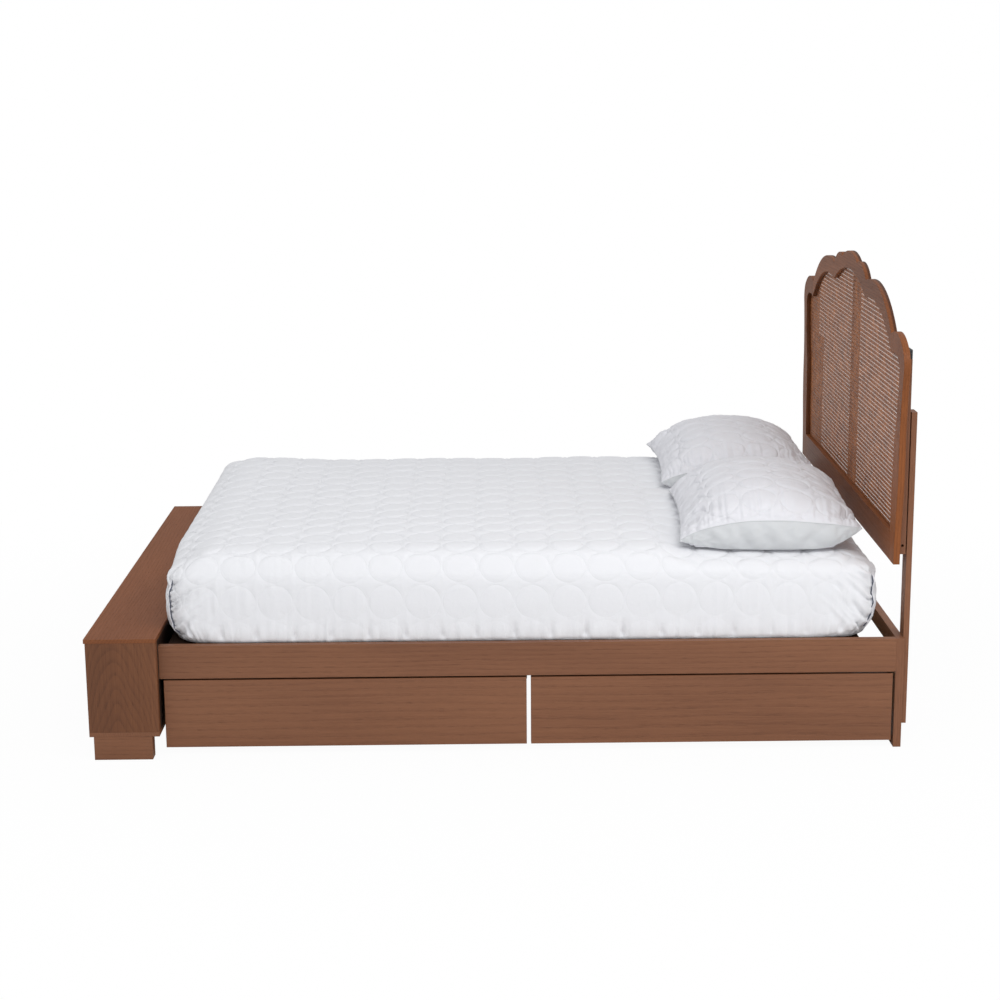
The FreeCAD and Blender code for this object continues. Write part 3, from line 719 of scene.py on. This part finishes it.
def profile_curve(points, spacing):
    """A smooth line through the points, at even steps: Catmull-Rom, then resampled by length."""
    points = np.asarray(points, float)
    padded = np.vstack((2 * points[0] - points[1], points, 2 * points[-1] - points[-2]))
    line = []
    for index in range(len(points) - 1):
        a, b, c, d = padded[index:index + 4]
        for t in np.linspace(0, 1, 12, endpoint=False):
            line.append(0.5 * (2 * b + (c - a) * t + (2 * a - 5 * b + 4 * c - d) * t ** 2
                               + (3 * b - a - 3 * c + d) * t ** 3))
    line = np.vstack((line, points[-1]))
    length = np.concatenate(((0,), np.cumsum(np.linalg.norm(np.diff(line, axis=0), axis=1))))
    even = np.linspace(0, length[-1], int(round(length[-1] / spacing)) + 1)
    return np.column_stack([np.interp(even, length, line[:, axis]) for axis in (0, 1)]), even


def round_corners(x, y, half_x, half_y, radius):
    """Moves the points of a rectangular grid so that its square corners become round ones."""
    dx, dy = np.abs(x) - (half_x - radius), np.abs(y) - (half_y - radius)
    corner = (dx > 0) & (dy > 0)
    size = np.hypot(dx, dy)
    pull = np.where(corner, np.maximum(dx, dy) / np.where(size > 0, size, 1), 1)
    new_x = np.where(corner, np.sign(x) * (half_x - radius + dx * pull), x)
    new_y = np.where(corner, np.sign(y) * (half_y - radius + dy * pull), y)
    return new_x, new_y


def grid_lines(half, radius, cell):
    """Places along a half-width with whole cells in the corner squares and in the straight run."""
    straight = np.linspace(-(half - radius), half - radius, int(round(2 * (half - radius) / cell)) + 1)
    corner = np.linspace(0, radius, int(round(radius / cell)) + 1)[1:]
    return np.concatenate((-(half - radius) - corner[::-1], straight, half - radius + corner))


def plain_cover(low_z, half_x, half_y):
    """The cover before it is quilted: a flat top with rounded corners, and a side that hangs from its rim.

    It gives the points and faces, and for each point its place on the unrolled cloth (quilt_a, quilt_b), how
    far down it is from the top's rim, its place around the side, whether that is a long side, and shares from
    0 to 1: on the side, at the hem, and loose, which is 0 only at the lower edge.
    """
    top_x, top_y = half_x - TOP_INSET, half_y - TOP_INSET
    profile, drop = profile_curve(np.array(COVER_PROFILE) * MM, COVER_CELL)
    # the near side's cloth is longer, since it runs over a fuller edge, and is measured up from the hem
    near_profile = profile + np.column_stack((np.zeros(len(profile)), near_lift(-profile[:, 0])))
    near_steps = np.linalg.norm(np.diff(near_profile, axis=0), axis=1)
    near_drop = drop[-1] - np.concatenate((np.cumsum(near_steps[::-1])[::-1], (0,)))
    near_stretch = 1 + near_drop[0] / top_y

    # the flat top, as a grid with rounded corners
    xs, ys = grid_lines(top_x, TOP_CORNER, COVER_CELL), grid_lines(top_y, TOP_CORNER, COVER_CELL)
    grid_x, grid_y = [grid.ravel() for grid in np.meshgrid(xs, ys, indexing="ij")]
    place_x, place_y = round_corners(grid_x, grid_y, top_x, top_y, TOP_CORNER)
    crown = TOP_CROWN * (1 - np.abs(grid_x / top_x) ** 3) * (1 - np.abs(grid_y / top_y) ** 3)
    points = [np.column_stack((place_x, place_y, low_z + profile[0, 1] + crown))]
    stretch = np.where(grid_y < 0, near_stretch, 1)
    cloth = [np.vstack((grid_x, stretch * grid_y, np.zeros((3, grid_x.size))))]
    index = np.arange(grid_x.size).reshape(len(xs), len(ys))
    quads = np.stack((index[:-1, :-1], index[1:, :-1], index[1:, 1:], index[:-1, 1:]), 2)
    faces = quads.reshape(-1, 4).tolist()

    # the rim of the top, once round, and the wider outline that the side hangs from
    rim = np.concatenate((index[:-1, 0], index[-1, :-1], index[:0:-1, -1], index[0, :0:-1]))
    rim_x, rim_y = grid_x[rim], grid_y[rim]
    inner = points[0][rim, :2]
    straight_x, straight_y = top_x - TOP_CORNER, top_y - TOP_CORNER
    grow_x = np.sign(rim_x) * np.clip((np.abs(rim_x) - straight_x) / TOP_CORNER, 0, 1)
    grow_y = np.sign(rim_y) * np.clip((np.abs(rim_y) - straight_y) / TOP_CORNER, 0, 1)
    outward = np.column_stack((grow_x, grow_y))
    outward /= np.linalg.norm(outward, axis=1)[:, None]
    side_x = np.clip(rim_x, -straight_x, straight_x) / straight_x * (half_x - SIDE_CORNER)
    side_y = np.clip(rim_y, -straight_y, straight_y) / straight_y * (half_y - SIDE_CORNER)
    outer = np.column_stack((side_x, side_y)) + SIDE_CORNER * outward
    long_side = (top_y - np.abs(rim_y)) <= (top_x - np.abs(rim_x)) + SEAM_SHIFT * TOP_CORNER
    turned = np.arctan2(np.abs(grow_x), np.abs(grow_y))
    reach_x = side_x + np.sign(grow_x) * turned * SIDE_CORNER
    reach_y = side_y + np.sign(grow_y) * (math.pi / 2 - turned) * SIDE_CORNER

    # the side, ring by ring
    previous, total = rim, len(points[0])
    for (offset, height), length, near_length in zip(profile[1:], drop[1:], near_drop[1:]):
        share = min((offset + TOP_INSET) / TOP_INSET, 1.0)
        ring = inner * (1 - share) + outer * share + outward * max(offset, 0.0)
        points.append(np.column_stack((ring, np.full(len(rim), low_z + height))))
        along_x = rim_x * (1 - share) + reach_x * share
        along_y = rim_y * (1 - share) + reach_y * share
        side_length = np.where(rim_y < 0, near_length, length)
        end_place = along_y * np.where(along_y < 0, near_stretch, 1)
        cloth.append(np.vstack((np.where(long_side, along_x, np.sign(rim_x) * (top_x + length)),
                                np.where(long_side, np.sign(rim_y) * (top_y + side_length), end_place),
                                np.full(len(rim), length), np.where(long_side, along_x, along_y), long_side)))
        now = total + np.arange(len(rim))
        total += len(rim)
        faces += np.stack((previous, now, np.roll(now, -1), np.roll(previous, -1)), 1).tolist()
        previous = now
    faces.append(previous[::-1].tolist())

    quilt_a, quilt_b, down, around, on_long_side = np.concatenate(cloth, axis=1)
    points = np.vstack(points)
    return SimpleNamespace(
        points=points, faces=faces, above=points[:, 2] - low_z,
        from_seam=np.hypot(half_x - np.abs(points[:, 0]), half_y - np.abs(points[:, 1])),
        quilt_a=quilt_a, quilt_b=quilt_b, down=down, around=around, on_long_side=on_long_side,
        on_side=smoothstep(120 * MM, 170 * MM, down),
        hem=smoothstep(drop[-1] - 90 * MM, drop[-1] - 16 * MM, down),
        loose=1 - smoothstep(drop[-1] - 8 * MM, drop[-1], down),
        rim_start=grid_x.size, rim_long_side=long_side, seam_ring=int(np.argmax(profile[:, 1] < SEAM_TOP)))


def cover_relief(cover):
    """How far each point of the cover stands out from the plain shape, how far it is from the stitching, and
    how deep that stitching is."""
    down, around, on_side, hem = cover.down, cover.around, cover.on_side, cover.hem
    padded, from_stitch = quilting(cover.quilt_a + QUILT_SHIFT[0], cover.quilt_b + QUILT_SHIFT[1], 26,
                                   3.4 * MM, 2.6 * MM)
    low_down = smoothstep(200 * MM, 310 * MM, down)
    padded *= (1 - 0.72 * on_side) * (1 - 0.7 * low_down)
    stitch_depth = (1 - 0.35 * on_side) * (1 - 0.75 * low_down)
    lumps = 1.6 * MM * noise(cover.quilt_a / 0.24, cover.quilt_b / 0.24, 25)

    # at the hem, a pleat where two circles meet and finer gathers between them
    wander = 0.5 + 0.10 * noise(around / 0.11, down / 0.2 + cover.on_long_side * 4.1, 20)
    shift = np.where(cover.on_long_side > 0.5, QUILT_SHIFT[0], QUILT_SHIFT[1])
    from_pleat = ((around + shift) / QUILT_PITCH + wander) % 1.0 - 0.5
    pleat = -bell(from_pleat * QUILT_PITCH, 5 * MM) * (0.7 + 0.3 * noise(around / 0.09, 3.1, 28))
    gathers = (13 * MM * pleat * hem ** 2 * smoothstep(8 * MM, 30 * MM, cover.above)
               + wrinkles(around / (17 * MM), down / 0.3, 6 * MM, 21) * hem
               + wrinkles(around / (10 * MM), down / 0.25 + 3, 3 * MM, 22) * hem ** 2)

    # upright creases near the edge of the top, and slanted pulls toward each corner's seam
    edge_zone = smoothstep(0 * MM, 90 * MM, down) * (1 - smoothstep(230 * MM, 330 * MM, down))
    patchy = smoothstep(-0.6, 0.4, noise(around / 0.42, cover.on_long_side * 7.3, 31))
    creases = wrinkles(around / (14 * MM), down / (120 * MM), 4.2 * MM, 23) * patchy * edge_zone
    slanted = down / (15 * MM) + 3.5 * cover.from_seam / (60 * MM)
    pulls = (wrinkles(slanted, around / 0.12, 15 * MM, 24) * bell(cover.from_seam, 90 * MM)
             + wrinkles(1.4 * slanted, around / 0.07, 10 * MM, 29) * bell(cover.from_seam, 85 * MM)) * on_side
    return (padded + lumps + gathers + creases + pulls) * cover.loose, from_stitch, stitch_depth


def settle_cover(cover, points, centre_x, half_x, half_y, low_z):
    """Moves the cover's points, which start as a straight box's, to how the cover lies on the mattress."""
    x, y, z = points.T
    toward_foot = -cover.points[:, 0] / half_x
    toward_end = np.abs(toward_foot)
    on_top = 1 - cover.on_side

    # the foot end is fuller than the corner in front of it, and the far foot corner stands higher
    x = x - (FOOT_BULGE * smoothstep(-0.72, -0.30, y) * smoothstep(0.80, 0.96, toward_foot)
             * smoothstep(70 * MM, 150 * MM, cover.above))
    z = z + FAR_FOOT_RISE * smoothstep(0.55, 0.92, toward_foot) * smoothstep(0.0, 0.6, y) * on_top

    # the near edge is fuller up to the pillow, and the far one has a low shoulder
    inward = half_y - np.abs(y)
    from_end = half_x - np.abs(x - centre_x)
    shoulder = FAR_SHOULDER * bell(inward - 52 * MM, 30 * MM) * smoothstep(30 * MM, 150 * MM, from_end)
    before_pillow = 1 - smoothstep(-90 * MM, -10 * MM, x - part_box("pillow_right")[0].x)
    lifted = near_lift(inward) * smoothstep(15 * MM, 130 * MM, from_end) * before_pillow
    z = z + np.where(y < 0, lifted, shoulder * on_top)

    # the lower corners are drawn in, and the hem rises a little toward the ends
    drawn = bell(cover.from_seam, 120 * MM) * np.clip(1 - cover.above / (110 * MM), 0, 1) ** 2.2
    x = x - np.sign(x - centre_x) * CORNER_DRAW[0] * drawn
    y = y - np.sign(y) * CORNER_DRAW[1] * drawn
    rise = HEM_RISE * smoothstep(0.80, 1.0, toward_end) ** 2 * cover.hem
    uneven = 1.5 * MM * cover.hem * noise(cover.around / 0.07, cover.on_long_side * 3.3, 27)
    z = np.maximum(z + (rise + uneven) * cover.loose, low_z + 0.5 * MM)
    return np.column_stack((x, y, z))


def make_mattress():
    low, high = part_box("mattress")
    centre_x = (low.x + high.x) / 2
    half_x, half_y = (high.x - low.x) / 2, (high.y - low.y) / 2
    cover = plain_cover(low.z, half_x, half_y)
    points = cover.points + (centre_x, 0, 0)
    piece = mesh_object("mattress_cover", points, cover.faces)
    height, from_stitch, stitch_depth = cover_relief(cover)
    points = points + normals_of(piece.data) * (height - COVER_BACKING)[:, None]
    points = settle_cover(cover, points, centre_x, half_x, half_y, low.z)
    move_points(piece.data, points)
    keep_stitches(piece.data, from_stitch, stitch_depth)
    material = fabric("quilted_cover", (0.80, 0.805, 0.83, 1.0), stitched=True)
    place_piece(piece, material, "mattress", replaced="mattress")
    make_cover_seams(points, cover)


def smoothed(line, window):
    """A line of points with each one averaged with its neighbours."""
    padded = np.pad(line, ((window // 2, window // 2), (0, 0)), mode="edge")
    share = np.ones(window) / window
    return np.column_stack([np.convolve(column, share, "valid") for column in padded.T])


def make_cover_seams(points, cover):
    """The welt down each corner of the cover, where the side and end panels are sewn together, and beside it
    a dark cord that paints the shadow in the gap."""
    piping = fabric("cover_piping", (0.80, 0.80, 0.83, 1.0), crease=0.1)
    # painted shadow: a blue-grey cord stands for the shade in the gap beside the welt
    shade, tree, shader = principled("painted_seam_shadow", Roughness=0.9)
    speck = speckle(tree, object_place(tree), 600.0)
    connect(tree, shader, Base_Color=ramp(tree, speck, ((0.3, srgb(70, 74, 88)), (0.7, srgb(104, 108, 122)))))
    long_side = cover.rim_long_side
    count = len(long_side)
    rings = points[cover.rim_start:].reshape(-1, count, 3)
    changes = [column for column in range(count) if long_side[column] != long_side[column - 1]]
    for number, column in enumerate(changes):
        line = smoothed(rings[cover.seam_ring:-3, column], 5)
        taper = smoothstep(-1, 5, np.arange(len(line)))
        sign_x, sign_y, level = np.sign(line[:, 0]), np.sign(line[:, 1]), np.zeros(len(line))
        away = np.column_stack((sign_x, sign_y, level)) / math.sqrt(2)
        toward_end = np.column_stack((sign_x, -sign_y, level)) / math.sqrt(2)
        welt = tube(f"cover_welt_{number}", line + away * 2.4 * MM + toward_end * 3.0 * MM, 3.4 * MM * taper)
        place_piece(welt, piping, "mattress")
        gap = tube(f"cover_seam_shadow_{number}", line + away * 2.6 * MM - toward_end * 1.6 * MM, 1.9 * MM * taper)
        place_piece(gap, shade, "mattress")


# -------- pillows

PILLOW_CASE = (46, 60, 8)          # cells across, along and up the end gusset
GUSSET_BELLY = 12 * MM             # how far the end gusset bellies out between its two seams
PILLOW_CLEARANCE = 1 * MM
FRAMES = 26
CLOTH = dict(quality=6, mass=0.12, tension_stiffness=30, compression_stiffness=30, shear_stiffness=8,
             bending_stiffness=0.05, air_damping=2.0, pin_stiffness=1.0, shrink_min=-0.055, use_pressure=True,
             uniform_pressure_force=3.5)
LARGEST_MOVE = 15 * MM             # the simulation's moves are eased off toward this


def pillow_lens(u, v):
    """The height of the case across its width, from 1 in the middle to 0 at the long seams, and slimmer at
    the ends."""
    return np.maximum(1 - u ** 2, 0) ** (0.62 + 0.22 * v ** 4)


def pillow_place(u, v, up, half, facts):
    """Where a point of the filled case lies. u runs across from foot to head and v along, from -1 to 1.

    up is 1 on the upper panel and 0 on the lower one, and between them it is on an end gusset.
    """
    seam_high = facts["corner_high"] + facts["head_rise"] * u + 12 * MM * (1 - v ** 2) * np.abs(u)
    waist = facts["waist"] * (1 - v ** 2) * u ** 2
    x = half[0] * u * (1 - waist)
    y = half[1] * v * (1 + 0.045 * v ** 2 * (1 - u ** 2))
    swell = np.maximum(1 - v ** 4, 0) ** 0.85
    top = facts["gusset_top"] + (facts["crown"] - facts["gusset_top"]) * swell
    high = seam_high + (top - seam_high) * pillow_lens(u, v)
    low = seam_high * (1 - np.minimum(1.25 * pillow_lens(u, v), 1.0))
    return x, y, low + (high - low) * up


def pouch(name, half, facts, seed):
    """A pillow case: two panels that meet at the long edges, and a lens-shaped gusset at each end."""
    across, along, high = PILLOW_CASE
    random = np.random.RandomState(seed)
    spread = math.pi / 2 * 0.92
    us = np.sin(np.linspace(-1, 1, across + 1) * spread) / math.sin(spread)
    vs = np.linspace(-1, 1, along + 1)
    points, flat, index = [], [], {}

    def vertex(key, u, v, up):
        index[key] = len(points)
        place = np.array(pillow_place(u, v, up, half, facts))
        if 0 < up < 1:
            place[1] += np.sign(v) * GUSSET_BELLY * math.sin(math.pi * up) * pillow_lens(u, v)
        points.append(place + random.uniform(-0.5, 0.5, 3) * MM)
        flat.append((half[0] * u, half[1] * v, up))

    for i, u in enumerate(us):
        for j, v in enumerate(vs):
            vertex(("top", i, j), u, v, 1)
            if i in (0, across):
                index[("low", i, j)] = index[("top", i, j)]
            else:
                vertex(("low", i, j), u, v, 0)
    for j, end in ((0, "near"), (along, "far")):
        for i in range(1, across):
            for k in range(1, high):
                vertex((end, i, k), us[i], vs[j], k / high)

    def gusset_point(end, i, k):
        j = 0 if end == "near" else along
        if i in (0, across) or k == high:
            return index[("top", i, j)]
        return index[("low", i, j)] if k == 0 else index[(end, i, k)]

    def cell(i, j):
        return ((i, j), (i + 1, j), (i + 1, j + 1), (i, j + 1))

    faces, kinds = [], []
    for i in range(across):
        for j in range(along):
            faces.append([index[("top", *corner)] for corner in cell(i, j)])
            faces.append([index[("low", *corner)] for corner in cell(i, j)[::-1]])
            kinds += [0, 0]
    for end in ("near", "far"):
        for i in range(across):
            for k in range(high):
                corners = list(dict.fromkeys(gusset_point(end, *corner) for corner in cell(i, k)))
                if len(corners) > 2:
                    faces.append(corners if end == "near" else corners[::-1])
                    kinds.append(1)
    piece = mesh_object(name, points, faces)
    piece.data.polygons.foreach_set("material_index", kinds)
    kept = piece.data.attributes.new("flat_place", "FLOAT_VECTOR", "POINT")
    kept.data.foreach_set("vector", np.array(flat).ravel())
    seams = [[index[(side, i, j)] for i in range(across + 1)] for j in (0, along) for side in ("top", "low")]
    seams += [[index[("top", i, j)] for j in range(along + 1)] for i in (0, across)]
    return piece, seams


def apply_modifiers(piece):
    shape = bpy.data.meshes.new_from_object(piece.evaluated_get(bpy.context.evaluated_depsgraph_get()))
    piece.modifiers.clear()
    piece.data = shape


def fill_case(piece, seams):
    """Cloth simulation: the seams hold still and the slack panels between them are blown up and crease."""
    start = points_of(piece.data)
    group = piece.vertex_groups.new(name="seams")
    group.add(sorted(set(sum(seams, []))), 1.0, "REPLACE")
    cloth = piece.modifiers.new("fill", "CLOTH")
    for word, value in CLOTH.items():
        setattr(cloth.settings, word, value)
    cloth.settings.vertex_group_mass = "seams"
    cloth.settings.effector_weights.gravity = 0
    cloth.collision_settings.use_collision = False
    cloth.point_cache.frame_start = 1
    cloth.point_cache.frame_end = FRAMES
    scene = bpy.context.scene
    for step in range(1, FRAMES + 1):
        scene.frame_set(step)
    apply_modifiers(piece)
    scene.frame_set(1)
    moved = points_of(piece.data) - start
    far = np.linalg.norm(moved, axis=1)
    share = np.where(far > 0, LARGEST_MOVE * np.tanh(far / LARGEST_MOVE) / np.where(far > 0, far, 1), 0)
    move_points(piece.data, start + moved * share[:, None])


def make_pillow(side, seed, centre, half, turn, facts, material, plain):
    name, body = f"pillow_cover_{side}", f"pillow_{side}"
    piece, seams = pouch(name, half, facts, seed)
    fill_case(piece, seams)
    subdivide = piece.modifiers.new("smooth", "SUBSURF")
    subdivide.levels = subdivide.render_levels = 2
    apply_modifiers(piece)
    piece.data.polygons.foreach_set("use_smooth", [True] * len(piece.data.polygons))
    shape, normals = points_of(piece.data), normals_of(piece.data)
    flat = np.zeros(len(shape) * 3)
    piece.data.attributes["flat_place"].data.foreach_get("vector", flat)
    x, y, up = flat.reshape(-1, 3).T

    # quilting and folds, which fade out at the seams
    from_end, from_side = half[1] - np.abs(y), half[0] - np.abs(x)
    panel = smoothstep(0, 12 * MM, from_end) * smoothstep(0, 12 * MM, from_side)
    near_end, near_side = bell(from_end, 120 * MM), bell(from_side, 70 * MM)
    quilt, from_stitch = quilting(x + 0.31 + up, y + 0.12, seed + 40, 2.4 * MM, 1.7 * MM)
    keep_stitches(piece.data, from_stitch, np.ones(len(shape)))
    folds = wrinkles(x / (13 * MM), y / (150 * MM) + up, 5.0 * MM, seed + 50) * (0.15 + near_end)
    folds += wrinkles(x / (130 * MM) + up, y / (18 * MM), 4.6 * MM, seed + 51) * near_side
    folds += wrinkles(x / (55 * MM) + up, y / (42 * MM), 3.0 * MM, seed + 52)
    shape = shape + normals * ((quilt + folds) * panel)[:, None]

    # the head side ruffles, and the underside flattens softly against the mattress
    ruffle = noise(y / (26 * MM), 0 * y + 2.2, seed + 53) * 5 * MM
    shape[:, 2] += ruffle * smoothstep(0.80, 1.0, x / half[0]) * (1 - near_end)
    floor, softness = 1.5 * MM, 2 * MM
    shape[:, 2] = floor + np.logaddexp(0, (shape[:, 2] - floor) / softness) * softness

    turned = np.array(Matrix.Rotation(turn, 3, "Z"))
    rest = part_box("mattress")[1].z + PILLOW_CLEARANCE
    shape = shape @ turned.T + np.array((*centre, rest))
    move_points(piece.data, shape)
    place_piece(piece, material, body, replaced=body)
    piece.data.materials.append(plain)
    for number, seam in enumerate(seams):
        welt = tube(f"pillow_seam_{side}_{number}", shape[seam], 1.4 * MM, sides=6)
        place_piece(welt, plain, body)


def make_pillows():
    quilted = fabric("quilted_pillow", (0.745, 0.745, 0.78, 1.0), stitched=True)
    plain = fabric("plain_gusset", (0.62, 0.635, 0.65, 1.0), crease=0.08)
    right = dict(corner_high=40 * MM, head_rise=19 * MM, waist=0.05, gusset_top=84 * MM, crown=150 * MM)
    left = dict(corner_high=40 * MM, head_rise=13 * MM, waist=0.06, gusset_top=80 * MM, crown=144 * MM)
    make_pillow("right", 3, (0.786, -0.333), (0.256, 0.342), -0.045, right, quilted, plain)
    make_pillow("left", 8, (0.785, 0.424), (0.252, 0.330), -0.01, left, quilted, plain)


# -------- the whole scene

bpy.context.scene.view_settings.view_transform = "Standard"
make_camera()
make_world()
make_floor()
make_lights()
dress_cad_nodes()
make_cane()
make_mattress()
make_pillows()
